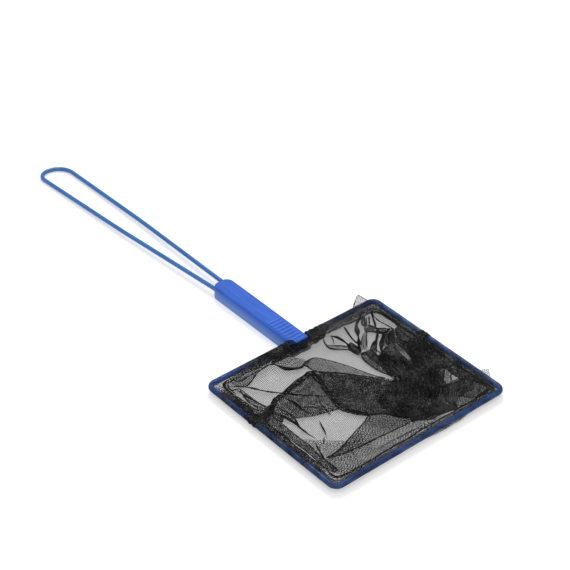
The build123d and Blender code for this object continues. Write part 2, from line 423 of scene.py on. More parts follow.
# A cell of the mesh is one unit of UV, and away is the distance to its nearest thread, rounded where
# threads cross.
net, net_shader, net_place = new_finish("black_net", Specular_IOR_Level=0.06)
cells = net_place.node("ShaderNodeUVMap", {"uv_map": "cells"})
across = cells.node("ShaderNodeSeparateXYZ", inputs={0: cells})
upright = Shade(across.socket.node.outputs[1])
share = cells.node("ShaderNodeAttribute", {"attribute_name": "thread_share"}, out=2)
away = across.math("PINGPONG", 0.5).math("SMOOTH_MIN", upright.math("PINGPONG", 0.5), thread_join)
thread = away.math("LESS_THAN", share * thread_reach)
# The yarn's colour varies at random and carries a painted sheen: pale specks from a fine grain, and threads
# painted lighter along their middles.
net_tone = net_place.noise(160.0, 4.0)
net_sheen_specks = net_place.noise(1000.0)
net_patch = net_place.noise(70.0)
net_tone_and_sheen = net_tone * 0.2 + net_sheen_specks * 0.8 + net_patch * 0.4 - away * 0.3 - 0.2
# Black and grey by random tone, up to the pale of the painted sheen.
feed(
    net_shader, Alpha=thread, Roughness=net_tone * 0.2 + 0.7,
    Base_Color=net_tone_and_sheen.colours((0.36, net_black), (0.48, net_grey), (0.62, net_sheen)),
)

casing_step = 0.7
casing_gap = 0.3
snug = 0.93
casing_run = np.arange(grip_half + casing_gap, hoop_length - grip_half - casing_gap, casing_step)
lean = math.acos(sleeve_radius / casing_reach)
arc = np.linspace(lean, 2 * math.pi - lean, 21)
leaf = np.linspace(1.0, 0.0, 12)[:-1]
leaf_in = leaf * casing_reach + (1 - leaf) * snug * sleeve_radius * math.cos(lean)
leaf_up = leaf * 0.2 + (1 - leaf) * snug * sleeve_radius * math.sin(lean)
fold_in = np.concatenate([leaf_in, snug * sleeve_radius * np.cos(arc), leaf_in[::-1]])
fold_up = np.concatenate([leaf_up, snug * sleeve_radius * np.sin(arc), -leaf_up[::-1]])
fold_length = length_along(np.column_stack([fold_in, fold_up]))
run, fold_run = np.meshgrid(casing_run, fold_length, indexing="ij")
sewn = np.clip(fold_in / casing_reach, 0, 1)[None, :]

# The form of the hem: its width along the run, the pucker at the stitches and the loose cloth in front.
loose_out, loose_down = 1.7, 0.8
pucker_height = 0.28
under_front = hoop_marks[4] + flat_x
loose = hump(run, under_front + 16, under_front + 30, 18.0)
below = np.clip(-fold_up / sleeve_radius, 0, 1)[None, :] ** 2 * (1 - sewn)
pucker = ripple(run, 0, 7.0, 3) + 0.5 * ripple(run, fold_run, 3.0, 4)
hem_reach = np.interp(
    run,
    [0, 192, 206, 322, 336, 425, 448, 459, 474, 500, 532],
    [1, 1, .8, .8, 1, 1, 1.15, 1.5, 1.5, 1.2, 1],
)
hem_reach = hem_reach + 0.07 * ripple(run, 0, 16.0, 5)
inset = fold_in[None, :] * (1 + (hem_reach - 1) * sewn) - loose_out * loose * below
rise = fold_up[None, :] * (1 + 0.02 * ripple(run, fold_run, 5.0, 6))
rise = rise + pucker_height * pucker * sewn ** 2 - loose_down * loose * below
place = beside_hoop(run, inset)

# How dense the cloth is along the run: on the wire, at the edge where the leaf begins, and in the leaf.
leaf_blend = 1.2
drawn_share = 0.6
rail_share = np.interp(
    run,
    [0, 30, 42, 52, 66, 72, 80, 86, 164, 184, 190, 200,
     310, 330, 342, 350, 400, 438, 446, 456, 466, 482, 524],
    [.60, .54, .36, .22, .17, .18, .25, .37, .37, .24, .24, .28,
     .26, .22, .24, .29, .26, .22, .21, .27, .38, .42, .52],
)
edge_share = np.interp(
    run,
    [0, 36, 58, 66, 78, 84, 184, 192, 200, 328, 340, 350, 446, 458, 470, 524],
    [.70, .60, .46, .20, .22, .70, .70, .56, .62, .62, .58, .70, .66, .46, .50, .46],
)
leaf_share = np.interp(
    run,
    [0, 30, 40, 66, 76, 84, 120, 176, 186, 200, 300, 330, 345, 360, 440, 456, 466, 480, 524],
    [.46, .18, .08, .08, .14, .66, .52, .48, .16, .15, .14, .28, .44, .72, .70, .30, .25, .24, .22],
)
edge_at = np.interp(run, [0, 66, 80, 330, 345, 532], [3.9, 3.9, 2.1, 2.1, 3.9, 3.9])
leaf_part = np.clip((fold_in[None, :] - edge_at) / leaf_blend + 0.5, 0, 1)
patchy = 0.06 * ripple(run, fold_run, 11.0, 8) * hump(run, 80, 450, 10.0)
casing_share = rail_share + patchy + (leaf_share - rail_share) * leaf_part
casing_share = casing_share + (edge_share - casing_share) * hump(fold_in[None, :] - edge_at, -0.7, 0.7, 0.6)
drawn = hump(run, 190, 334, 6.0) * hump(fold_in[None, :], 5.6, 6.6, 0.4)
casing_share = casing_share + (drawn_share - casing_share) * drawn
crumpled = 1.2 * ripple(run, fold_run, 9.0, 7) * sewn
fine = np.where((sewn > 0.3) & ((run < 342) | (run > 490)), 0.8, 1.5)
casing_u = (run * 0.8 + fold_run * 0.6 + crumpled) * fine
casing_v = (fold_run * 0.8 - run * 0.6 - crumpled) * fine
hem_casing = new_cloth(
    "hem_casing_mesh",
    [layer(place[..., 0], place[..., 1], wire_height + rise, casing_u, casing_v, casing_share)],
    net, ["hem_casing"],
)

# Hem thread: black sewing thread that closes the casing in one line of lock stitches, each a short
# raised dash that dips through the cloth at its ends.
stitch_length = 2.6
thread_radius = 0.32
thread_inset = 6.1
yarn_black = (0.006, 0.006, 0.006, 1.0)
yarn_grey = (0.022, 0.021, 0.020, 1.0)
yarn_fibre = 1800.0


def level_side(ahead):
    """The level direction to the left of each direction, of length 1: (-y, x) / sqrt(x**2 + y**2)."""
    return np.stack([-ahead[:, 1], ahead[:, 0]], axis=-1) / np.linalg.norm(ahead[:, :2], axis=1)[:, None]


def tube(line, radius, sides=6):
    """A round tube on a line, in rings of points: line + radius * (cos(t) * level + sin(t) * upward)."""
    ahead = np.gradient(line, axis=0)
    level = np.column_stack([level_side(ahead), np.zeros(len(line))])
    upward = np.cross(ahead, level)
    upward /= np.linalg.norm(upward, axis=1, keepdims=True)
    around = np.arange(sides) * 2 * math.pi / sides
    ring = np.cos(around)[:, None] * level[:, None, :] + np.sin(around)[:, None] * upward[:, None, :]
    points = line[:, None, :] + np.broadcast_to(radius, len(line))[:, None, None] * ring
    along, about = np.meshgrid(length_along(line), around, indexing="ij")
    return layer(points[..., 0], points[..., 1], points[..., 2], along, about, 1.0, closed=True)


yarn, yarn_shader, yarn_place = new_finish("black_yarn", Specular_IOR_Level=0.1)
fibre = yarn_place.noise(yarn_fibre, 3.0)
feed(
    yarn_shader, Base_Color=fibre.colours((0.3, yarn_black), (0.75, yarn_grey)),
    Roughness=fibre * 0.3 + 0.5, Normal=fibre.bump(0.4, 0.0001),
)
stitch_run = np.arange(grip_half + 0.5, hoop_length - grip_half - 0.5, 0.32)
dip = np.abs(np.cos(math.pi * stitch_run / stitch_length)) ** 6
stitch_up = wire_height + 0.5 + 0.22 * ripple(stitch_run, 0, 7.0, 3) - 0.45 * dip
stitch_in = thread_inset * np.interp(stitch_run, casing_run, hem_reach[:, 0])
stitch_line = np.column_stack([beside_hoop(stitch_run, stitch_in), stitch_up])
hem_thread = new_cloth(
    "hem_thread_stitches", [tube(stitch_line, thread_radius * (1 - 0.3 * dip))],
    yarn, ["hem_thread"],
)

# Net bag: one deep bag of knitted black mesh, fallen flat. A single layer hangs from the hem to the
# table; the slack lies on it in wide folds of two layers and in narrow tucks pulled tight from the corners.
rim_inset = 6.0
front_inset = 4.9
slack_cells = 1.45
tight_cells = 0.45
bag_floor = 0.45
wall_run = 7.0
lay_step = 1.0
lay_gap = 0.12
lay_sunk = 0.15
lay_x = np.arange(-95.0, 95.5, lay_step)
lay_y = np.arange(-80.0, 90.5, lay_step)
bag_layers = []


def smooth_line(corners, step, closed=False):
    """Points at even steps on a Catmull-Rom curve through these corners, open or closed."""
    knots = np.array(corners, float)
    if closed:
        knots = np.vstack([knots[-1:], knots, knots[:2]])
    else:
        knots = np.vstack([2 * knots[:1] - knots[1:2], knots, 2 * knots[-1:] - knots[-2:-1]])
    t = np.linspace(0, 1, 24, endpoint=False)[None, :, None]
    a, b, c, d = (knots[k:len(knots) - 3 + k, None, :] for k in range(4))
    bend, twist = 2 * a - 5 * b + 4 * c - d, 3 * b - a - 3 * c + d
    curve = 0.5 * (2 * b + (c - a) * t + bend * t ** 2 + twist * t ** 3)
    curve = np.vstack([curve.reshape(-1, curve.shape[-1]), knots[-2:-1]])
    length = length_along(curve[:, :2])
    even = np.linspace(0, length[-1], max(4, int(length[-1] / step)) + 1)
    if closed:
        even = even[:-1]
    return np.stack([np.interp(even, length, curve[:, axis]) for axis in range(curve.shape[1])], axis=-1)


def soften(heights, times):
    """Blurs a height map: each place becomes the mean of itself and its neighbours, several times."""
    for _ in range(times):
        spread = np.pad(heights, 1, mode="edge")
        rows = (spread[:-2] + spread[1:-1] + spread[2:]) / 3
        heights = (rows[:, :-2] + rows[:, 1:-1] + rows[:, 2:]) / 3
    return heights


def inside(outline, x, y):
    """True where a place lies within a closed outline: it has an odd number of edges to its right."""
    start, end = outline, np.roll(outline, -1, axis=0)
    x, y = x[..., None], y[..., None]
    crosses = (start[:, 1] > y) != (end[:, 1] > y)
    rise_y = np.where(end[:, 1] == start[:, 1], 1e-9, end[:, 1] - start[:, 1])
    meet = start[:, 0] + (y - start[:, 1]) / rise_y * (end[:, 0] - start[:, 0])
    return (crosses & (x < meet)).sum(axis=-1) % 2 == 1


def lay_at(x, y):
    """Height of what already lies in the bag at a place, read between the points of the height map."""
    column = np.clip((x - lay_x[0]) / lay_step, 0, len(lay_x) - 1.001)
    row = np.clip((y - lay_y[0]) / lay_step, 0, len(lay_y) - 1.001)
    i, j = column.astype(int), row.astype(int)
    s, t = column - i, row - j
    near = lay_map[i, j] * (1 - t) + lay_map[i, j + 1] * t
    far = lay_map[i + 1, j] * (1 - t) + lay_map[i + 1, j + 1] * t
    return near * (1 - s) + far * s


def turned_cloth(x, y, turn):
    """UV in mm of a layer whose threads are turned by some degrees and drawn slightly out of true."""
    angle = math.radians(turn)
    u = x * math.cos(angle) + y * math.sin(angle)
    v = y * math.cos(angle) - x * math.sin(angle)
    u = u + 0.8 * ripple(x, y, 40.0, 21) + 0.4 * ripple(x, y, 9.0, 23)
    v = v + 0.8 * ripple(x, y, 40.0, 22) + 0.4 * ripple(x, y, 9.0, 24)
    return u, v


def sag(x, y):
    """Height of the single layer, d from the rim: bag_floor + drop * exp(-(d / wall_run)**2) + waves."""
    d = np.minimum(rail_x - rim_inset - np.abs(x), rail_y - rim_inset - np.abs(y))
    width = wall_run * (1 + 0.3 * ripple(x, y, 45.0, 31))
    drop = wire_height - 0.3 - bag_floor
    low = 0.35 * (1 + ripple(x, y, 22.0, 32)) * np.clip(d / 8, 0, 1)
    return bag_floor + drop * np.exp(-(np.maximum(d, 0) / width) ** 2) + low


def settle(outline, height):
    """Raises the height map in place under a fold that has been laid, softened at its edges."""
    covered = inside(outline, *np.meshgrid(lay_x, lay_y, indexing="ij"))
    lay_map[:] = soften(lay_map + covered * height, 2)


def roll(route, width, tall, turn, share=0.7, closed=False):
    """The rolled edge of a fold on a line: a flat oval of this width and height, thin at both open ends."""
    if closed:
        ahead = np.roll(route, -1, axis=0) - np.roll(route, 1, axis=0)
        taper = np.ones(len(route))
        route, ahead, taper = (np.concatenate([part, part[:1]]) for part in (route, ahead, taper))
    else:
        ahead = np.gradient(route, axis=0)
        along = np.linspace(0, 1, len(route))
        taper = np.clip(5 * along * (1 - along), 0.05, 1) ** 0.6
    aside = level_side(ahead)
    around = np.linspace(0, 2 * math.pi, 6, endpoint=False)
    uneven = 1 + 0.3 * ripple(route[:, 0], route[:, 1], 9.0, turn)
    across = (taper * uneven * width / 2)[:, None] * np.cos(around)
    x = route[:, :1] + across * aside[:, :1]
    y = route[:, 1:] + across * aside[:, 1:]
    z = lay_at(x, y) + 0.1 + (taper * tall / 2)[:, None] * (1 + np.sin(around))
    bag_layers.append(layer(x, y, z, *turned_cloth(x, y + z, turn), share, closed=True))


def lay_double(x, y, z, upper, turn, share, cells):
    """Adds both layers of a fold to the bag; the threads of the lower one run another way."""
    above, below = turned_cloth(x, y, turn), turned_cloth(x, y, -turn - 20)
    u, v = (np.where(upper, one, other) / cells for one, other in zip(above, below))
    bag_layers.append(layer(x, y, z, u, v, share, closed=True))


def fold(
    outline, middle, turn, share=mesh_thread, rim=0.6, thick=0.6, loose=0.25, lift=0.0, cells=slack_cells
):
    """A flat fold of two layers: rings shrink from its rounded edge to the middle, above and below.

    place = middle + r * (edge - middle); height = lay + thick * (0.5 +- 0.5 * sqrt(1 - r**10)) + waves.
    The turn of its threads, in degrees, is also the seed of its unevenness, as in strips and tucks.
    """
    edge = smooth_line(outline, 1.4, closed=True)
    ring = np.concatenate([np.linspace(0.03, 0.93, 8), [0.975, 1.0]])
    r = np.concatenate([ring, ring[-2::-1]])[:, None]
    face = np.concatenate([np.ones(len(ring)), -np.ones(len(ring) - 1)])[:, None]
    place = np.array(middle) + r[..., None] * (edge - np.array(middle))
    x, y = place[..., 0], place[..., 1]
    swell = np.sqrt(np.maximum(1 - r ** 10, 0))
    waves = loose * (1 + ripple(x, y, 9.0, turn)) * swell * np.where(face > 0, 1.0, 0.3)
    z = lay_at(x, y) + lay_gap + lift + thick * (0.5 + 0.5 * face * swell) + waves
    lay_double(x, y, z, face > 0, turn, share, cells)
    settle(edge, thick + lay_sunk + lift)
    if rim:
        roll(edge, rim, 0.5, turn, closed=True)


def strip(one_edge, other_edge, turn, share=mesh_thread, rim=0.8, thick=0.6, loose=0.15, cells=slack_cells):
    """A long fold of two layers between two edges: place = one + t * (other - one), closed round the edges.

    t = 0.5 - 0.5 * cos(a) and height = lay + thick * (0.5 + 0.5 * sin(a)) for a once round.
    """
    one, other = smooth_line(one_edge, 1.0), smooth_line(other_edge, 1.0)
    count = max(len(one), len(other))
    even = np.linspace(0, 1, count)
    one, other = (
        np.stack([np.interp(even, np.linspace(0, 1, len(line)), line[:, axis]) for axis in (0, 1)], axis=-1)
        for line in (one, other)
    )
    around = 2 * math.pi * np.arange(14) / 14
    t = (0.5 - 0.5 * np.cos(around))[None, :, None]
    place = one[:, None, :] + t * (other - one)[:, None, :]
    x, y = place[..., 0], place[..., 1]
    up = np.sign(np.sin(around)) * np.abs(np.sin(around)) ** 0.5
    z = lay_at(x, y) + lay_gap + thick * (0.5 + 0.5 * up) + loose * (1 + ripple(x, y, 6.0, turn)) * (up > 0)
    lay_double(x, y, z, up > 0, turn, share, cells)
    settle(np.vstack([one, other[::-1]]), thick + lay_sunk)
    for edge in (one, other):
        roll(edge, rim, 0.5, turn)


def tuck(line, width, tall, turn, share=0.7):
    """A narrow pleat pulled tight on a line."""
    roll(smooth_line(line, 0.8), width, tall, turn, share)


base_x, base_y = np.meshgrid(
    np.linspace(-rail_x + rim_inset, rail_x - rim_inset, 151),
    np.linspace(-rail_y + front_inset, rail_y - rim_inset, 128),
    indexing="ij",
)
base_u, base_v = turned_cloth(base_x, base_y, 15.0)
bag_layers.append(layer(base_x, base_y, sag(base_x, base_y), base_u, base_v, mesh_thread))
lay_map = sag(*np.meshgrid(lay_x, lay_y, indexing="ij"))

# Low folds along the front rail, from the left corner to the crumpled side.
fold([
    (-62, -38.5), (-45, -38.5), (-30, -40.5), (-26.5, -44), (-30, -48), (-22, -51.5), (-10, -53),
    (2, -53.5), (24, -54.6), (0, -56.6), (-40, -56.6), (-62, -56),
], (-40, -49.5), 24, 0.15, 0.0, 0.4, cells=1.8)
fold([
    (-31, -40.5), (-8, -43.5), (12, -44), (15, -52), (0, -53.5), (-12, -52.6), (-24, -51.5), (-32, -48.5),
    (-27.5, -44),
], (-8, -48.5), 40, 0.11, 0.0, 0.4, cells=2.0)
fold([
    (-60, -14), (-46.3, -23), (-37.2, -32), (-48, -36), (-60, -38),
], (-50, -29), 51, 0.10, 0.0, 0.4, cells=1.9)
fold([
    (8, -43.5), (12, -47.5), (15, -52.5), (22, -53), (30, -54.5), (38, -56), (38, -48), (30, -40),
    (16, -38),
], (25, -47), 39, 0.36, 0.7, 0.4, cells=tight_cells)

# The flap under the grip and the loose cloth along the left rail.
strip([
    (-60.4, 55.7), (-51.8, 57.4), (-42.3, 57.8), (-34.3, 57.1), (-26.6, 56), (-19, 55), (-12, 51.8),
    (-8, 48.2), (-4.6, 45.6), (-4.4, 43),
], [
    (-60.8, 53.6), (-56.5, 48.7), (-50.3, 48.2), (-41.8, 51.4), (-34.7, 52.8), (-26.1, 51.9),
    (-21.1, 44.5), (-12.1, 40.2), (-7.5, 41),
], 12, 0.13)
strip([
    (-68, 15), (-67.6, 2), (-66.8, -10), (-65.8, -22), (-66, -34), (-66.6, -44), (-65.5, -51),
], [
    (-57.5, 14), (-57.6, 6.3), (-58.2, -2.4), (-59.3, -14), (-59.8, -25.5), (-61.6, -33.8), (-61.9, -45.7),
    (-61.6, -50.7),
], 27, 0.29, cells=1.2)
fold([
    (-66.5, 55.5), (-60, 56.5), (-50, 55), (-46, 53), (-52, 49), (-58, 47), (-61.5, 43), (-66, 46),
], (-60, 51), 28, 0.05, 0.0, 0.3)
fold([
    (-66.6, 49.7), (-65.9, 41), (-65, 34.1), (-64.6, 27.4), (-62, 22.5), (-59, 18.3), (-64.4, 16.2),
    (-68.8, 21.6), (-67.7, 32.1), (-68, 44.1),
], (-64.8, 28.7), 31, 0.3)
fold([
    (-58.9, 46.9), (-57.7, 44), (-57.2, 35.3), (-56.5, 27), (-56.1, 21.7), (-59.8, 22), (-62.4, 26),
    (-62.6, 33), (-61.2, 40.8),
], (-59.4, 32.7), 64, 0.2)

# The wide tongue across the front window, with its doubled tip.
fold([
    (-7.7, -22.5), (-15.3, -24.9), (-24.9, -28), (-37.5, -32), (-50.5, -35.5), (-58.8, -37),
    (-53.8, -38.4), (-44.4, -39.4), (-32, -41.1), (-22.8, -42.2), (-6.6, -44), (6.1, -44.5), (12, -44.9),
    (16, -46), (20.8, -43.1), (14.1, -34.6), (4, -29.6),
], (-13.7, -35.5), 55, 0.165, 0.9, cells=1.8)
fold([
    (-58.6, -37), (-50.5, -35.6), (-40.4, -33), (-31.9, -30.4), (-24, -29), (-26, -35), (-28, -41),
    (-44.4, -39.2), (-53.8, -38.2),
], (-37, -36), 34, 0.04, 0.0, 0.2, 0.1)
fold([
    (-58.6, -37), (-50.5, -35.6), (-38, -32.6), (-37.5, -36), (-40, -39.6), (-53.8, -38.2),
], (-45, -36.5), 36, 0.1, 0.0, 0.2, 0.1)
fold([
    (-8.5, -22), (0.5, -31), (10, -40), (10, -44), (-3, -43), (-13, -37), (-15, -29),
], (-4, -35), 26, 0.05, 0.0, 0.3)

# The wedge between the two runs of the left seam, the leaf behind it and the broad lap on the right.
fold([
    (-54.4, 21.1), (-51, 25.1), (-47.7, 27.3), (-43.8, 28.1), (-36.8, 29.4), (-25.7, 31.4), (-16.7, 33.3),
    (-10.7, 34), (-9.1, 33.8), (-9.3, 26.8), (-12.6, 15.5), (-16, 4.4), (-17.8, -5.8), (-18.3, -6.3),
    (-28.2, -3.3), (-37.2, -0.8), (-45.1, 3.6), (-47.1, 4.6), (-48.1, 9.9), (-48.9, 16.3), (-51.6, 20.5),
], (-29.5, 15.4), 18, 0.26, cells=1.15)
fold([
    (-8.1, 41.2), (-2.2, 43.2), (2.4, 42.1), (5.8, 38.3), (11.1, 29), (15.3, 18.5), (18.5, 9.9),
    (21.6, 2.8), (25, -1.6), (20.5, 1.7), (15.3, 7.3), (10.4, 13.1), (3.5, 20.6), (-1.8, 26), (-7.1, 32.3),
    (-7.7, 37.8),
], (5.6, 26.3), 8, 0.15, 0.8, cells=2.0)
fold([
    (-9.7, 33.2), (-5.3, 29.7), (3.8, 20.9), (10.4, 13.1), (15.3, 7.2), (20.3, 1.5), (23.7, -2.3),
    (27.7, -6.9), (31.5, -10.9), (34.9, -19.7), (31.8, -27.1), (14.7, -44.5), (8.5, -42.4), (4.8, -38.5),
    (1.4, -32.9), (-0.7, -28.6), (-5.1, -25.4), (-9, -22.3), (-13.9, -16), (-17.4, -9.7), (-17.7, -4.1),
    (-16.6, 3.7), (-13.6, 13), (-10.8, 22.8),
], (6.3, -9.1), 37, 0.24, 0.45, cells=1.2)
fold([
    (-7.9, 27.6), (1.8, 18.8), (8.7, 11.4), (13.8, 5.7), (19, 0.1), (23.8, -5.7), (28.8, -13.7),
    (31.1, -23.5), (25.1, -32.5), (14.5, -43.3), (8.5, -42.3), (4.8, -38.4), (1.4, -32.8), (-0.8, -28.7),
    (-5.2, -25.4), (-9.1, -22.3), (-13.8, -15.9), (-16.4, -10), (-15.9, -3.6), (-13.3, 6), (-10.8, 13.9),
], (6, -10.9), 71, 0.24, 0.4, cells=1.15)

# The knot where the left seam leaves its rail.
fold([
    (-71, 18.5), (-66.5, 20.8), (-63, 19.6), (-58, 22.3), (-53, 24), (-51.3, 21.5), (-55, 18.2),
    (-59, 15.5), (-62, 13.4), (-66.5, 11.2), (-71, 12),
], (-63, 17), 44, 0.8, 1.2, 0.5)
fold([
    (-60, 17), (-55, 18.5), (-52.5, 12), (-54.8, 8.6), (-57.8, 7), (-59, 12),
], (-56, 13), 48, 0.35, 0.5, 0.3)
strip([
    (-53.5, 20), (-49.2, 14), (-49, 5.7), (-51.2, -2), (-51.8, -6),
], [
    (-57, 17), (-54.6, 12), (-52.6, 6.5), (-51.6, 0.8), (-52, -5),
], 68, 0.24)

# Thin leaves and loops pulled tight from the rear right corner.
fold([
    (57, 30), (63, 29), (60, 20), (55.5, 10), (53, 2), (50, -4), (47, 0), (48, 10), (52, 20),
], (54, 14), 43, 0.13, 0.0, 0.3)
fold([
    (55, 31), (64, 30), (62, 24), (60, 17), (56.5, 12), (52.5, 11), (50.5, 14.5), (54, 22),
], (57, 20), 30, 0.2, 0.0, cells=tight_cells)
fold([
    (53.8, 53), (55.7, 51.2), (53.6, 48.7), (51.6, 46.3), (49.9, 46.8), (50.9, 49.5),
], (52.7, 49.6), 23, 0.4, 1.0)
strip([
    (50.2, 46.9), (52.6, 44.4), (55, 41.9), (55.9, 38.6), (58.4, 36.3), (61, 32.8), (63.2, 31.4),
], [
    (49.2, 44.8), (48.5, 43.4), (47.8, 41), (50.8, 38.9), (53.8, 35.6), (56, 32.3), (58.1, 31.8),
    (60.9, 32), (62.9, 31.3),
], 47, 0.3, 1.5)
strip([
    (46.8, 41.5), (42, 39), (38.1, 35.3), (33, 29.8),
], [
    (47.8, 40.5), (42.4, 34.9), (35.9, 27.6),
], 46, 0.16, 0.7)
fold([
    (50.7, 33.4), (44.8, 29.6), (38.5, 26.4), (37.3, 22.9), (38.1, 21), (44.6, 27.3),
], (42, 26.6), 29, 0.3, 0.8)
fold([
    (56, 31.5), (60.2, 31.4), (56.3, 26.9), (50.4, 22), (51.4, 25.9), (53, 29.4),
], (55, 28), 63, 0.16, 0.8)
fold([
    (55, 31.5), (58, 28.6), (52.7, 22.8), (46.7, 18.5), (46.8, 22.5), (50, 27),
], (52, 25.5), 38, 0.2, 0.0, 0.3)
strip([
    (24.1, 52), (27.8, 48.7), (29.3, 44.3), (29.4, 38.2), (31.9, 31.7), (31.2, 28.7),
], [
    (23.8, 51.5), (27.6, 47), (28.9, 40.7), (27.3, 35.2), (26.8, 29.3), (28, 26.8),
], 53, 0.14, rim=1.2)
fold([(31.3, 39.5), (32.2, 32.5), (29.6, 27.2), (27.9, 31.2), (28.1, 35.5)], (29.8, 33), 49, 0.26, 0.8)
strip([
    (18.7, 53.4), (17, 48.4), (17.3, 45.7), (20.8, 43.4), (25.3, 39.9), (27.6, 35.5), (27.5, 30.1),
    (29.1, 25.7),
], [
    (18.2, 52.1), (16, 48.1), (16.2, 43.7), (18.5, 40.8), (22.9, 37.2), (25.9, 34.4), (26.1, 30.1),
    (27.2, 25.9),
], 54, 0.14, rim=1.2)
fold([
    (28.3, 24.9), (33.1, 25.8), (32.5, 20), (32, 14.2), (30.8, 7), (30.1, 0.4), (29.4, -2.6), (27.4, 2),
    (26, 9.3), (26.1, 16.9),
], (29.2, 13.6), 61, 0.26, 1.0)

# The crumpled right side, one layer on another.
strip([
    (30.9, 25.7), (34.9, 26.3), (37.7, 24.8), (36.7, 17.7), (40.1, 18.3), (45, 20.5), (50, 21), (56, 26.3),
    (60.5, 30.5), (64.3, 31),
], [
    (30.6, 20.2), (30.5, 14.1), (30.1, 6.2), (29.1, -2.1), (33.7, -6.8), (48.2, -0.5), (47.6, 9.6),
    (50.6, 15.5), (56.8, 23),
], 67, 0.34, cells=tight_cells)
fold([
    (64.2, 29.6), (60, 23.5), (59, 18.1), (55, 11.5), (53.9, 6.7), (52.6, 0.2), (50.6, -8.3),
    (54.4, -15.4), (60.3, -18.1), (60.9, -24.7), (61, -33.9), (64.9, -42), (68, -52), (69, -46),
    (69, -27.7), (69, -6.6), (69, 7.1), (69, 15.8), (69, 28.4),
], (61, -5), 25, 0.40, loose=0.4, cells=tight_cells)
fold([
    (51.1, 0.6), (50.6, -8.3), (54.4, -15.4), (60.1, -18.4), (58.5, -22.8), (49.5, -31.7), (55.4, -32.9),
    (60.8, -34.7), (64.4, -42.6), (60, -46.5), (50, -47), (42, -49.5), (38, -54), (30, -54), (22, -51),
    (10.9, -46.6), (3.5, -33.1), (3.6, -18.7), (18.1, -10.6), (30.9, -8.9), (37.8, -6.2),
], (36, -31), 75, 0.29, loose=0.4, cells=tight_cells)
fold([
    (24, -8), (34, -6), (46, -4), (52, -14), (54, -26), (48, -38), (36, -46), (24, -44), (16, -38),
    (14, -26), (18, -14),
], (34, -24), 13, 0.3, 0.0, cells=1.9)
fold([
    (31, 24), (40, 17), (45, 18), (48, 12), (47.5, 4), (48.5, -4), (54, -10), (60, -12), (64, -12),
    (56, -20), (45, -30), (34, -36), (28, -28), (30, -12), (30, 2),
], (42, -10), 66, 0.3, 0.0)
fold([
    (55.5, 8), (61, 14), (67, 12), (67, -8), (66, -22), (60, -20), (54, -14), (52, -4),
], (60, -3), 35, 0.34, 0.9)
fold([
    (47, -33), (54, -34.5), (61, -36), (65, -28), (69, -34), (69.5, -56.5), (58, -56.5), (48, -56),
    (42, -55), (38, -48), (42, -40),
], (56, -45), 21, 0.22, 0.9)
fold([
    (46, -27), (56, -20.5), (62.5, -19), (62.5, -26.5), (58, -29.5), (55, -33.5), (47, -34),
], (55, -27), 45, 0.16, 0.8)
fold([(50, -46), (60, -44), (68.5, -50), (68.5, -56), (58, -56), (51.5, -53)], (60, -50.5), 62, 0.18, 0.7)

# Two corners of cloth that stick out under the rails, at the rear and on the right.
fold([
    (68.4, 72.1), (69.1, 70.8), (69.3, 67.2), (69.5, 63.1), (65.5, 60.7), (58.9, 61.5), (56.5, 63.6),
    (62.1, 67.9),
], (64.4, 65.3), 33, 0.13, 0.6, lift=-0.1, cells=1.1)
fold([
    (78.3, -36.9), (83.4, -39.4), (80.8, -43), (77.3, -47.3), (74.8, -45.2), (75, -39.4),
], (78.2, -41.6), 58, 0.12, 0.0, lift=-2.0)

# Dark cloth beside the left seam, as far as the seam lies open, and narrow tucks pulled tight.
left_seam = [
    (-66.5, 15.5), (-58.7, 18), (-52.6, 21.7), (-47.5, 25.4), (-42.7, 26.4), (-36.6, 27.4), (-27.2, 29.8),
    (-18.8, 31), (-12.5, 32), (-10.7, 31.4), (-11.1, 27.9), (-12, 21.6), (-14.3, 13), (-16.8, 4.2),
    (-18.5, -4.2), (-18, -9.5), (-14.3, -16.4), (-9.4, -22.7), (-5.5, -25.8), (-1, -28.9), (0.9, -33.3),
    (4.3, -38.9), (8, -42.9),
]
tuck(left_seam[:-5], 3.4, 0.4, 39, 0.12)
tuck([
    (-25.7, 52.3), (-23.3, 48.9), (-20.3, 44.6), (-16.1, 41.7), (-12.1, 40.2), (-6.7, 41.6), (-1.9, 42.4),
    (1.3, 41.3),
], 2.0, 0.9, 40, 0.5)
tuck([
    (-65, 53.4), (-59.6, 50.2), (-52.2, 44.8), (-47.1, 38.7), (-42.9, 33.7), (-36.3, 26.4), (-30.3, 19.4),
    (-23.9, 13.1), (-18.8, 8.7), (-17.2, 5.3),
], 1.4, 0.7, 41, 0.8)
tuck([(-58.5, 57.8), (-62.5, 57.2), (-65.8, 54.6), (-66.6, 50.8), (-66.2, 46)], 1.8, 0.9, 65, 0.95)
tuck([(-57.5, 56), (-61.5, 55.4), (-64, 53), (-64.8, 49.5), (-64.4, 44)], 1.1, 0.6, 66, 0.9)
tuck([
    (-61.3, 57.3), (-57.2, 57.2), (-55.4, 53.2), (-45.2, 53.2), (-38.9, 53.6), (-34.8, 53.4),
], 1.0, 0.5, 67, 0.8)
tuck([(-62.4, 54.9), (-65, 49.7), (-61.6, 47.7), (-57.7, 48.3)], 0.9, 0.5, 68, 0.7)
tuck([(-61.3, 47.1), (-59.3, 36.3), (-56.8, 27.4), (-55.2, 23)], 1.3, 0.7, 69, 0.9)
tuck([(-59.8, 46.3), (-61.8, 38.4), (-62.7, 33), (-61.8, 28.2), (-58.6, 24)], 1.2, 0.6, 70, 0.9)
wedge_crease = [(-40.4, 23.7), (-38.9, 17.1), (-39.1, 12.4), (-39, 6.6), (-37.9, 2.6)]
tuck(wedge_crease, 2.4, 0.7, 42, 0.3)
tuck(wedge_crease, 1.1, 0.5, 58)
tuck([(-38, 10.6), (-34.8, 7.6), (-31.1, 5.1)], 1.0, 0.6, 43, 0.5)
tuck([
    (-52.8, 20.2), (-48.7, 14.2), (-48.5, 5.7), (-51.4, -2.9), (-51.8, -11.9), (-50.8, -18.1),
], 1.3, 0.7, 44, 0.8)
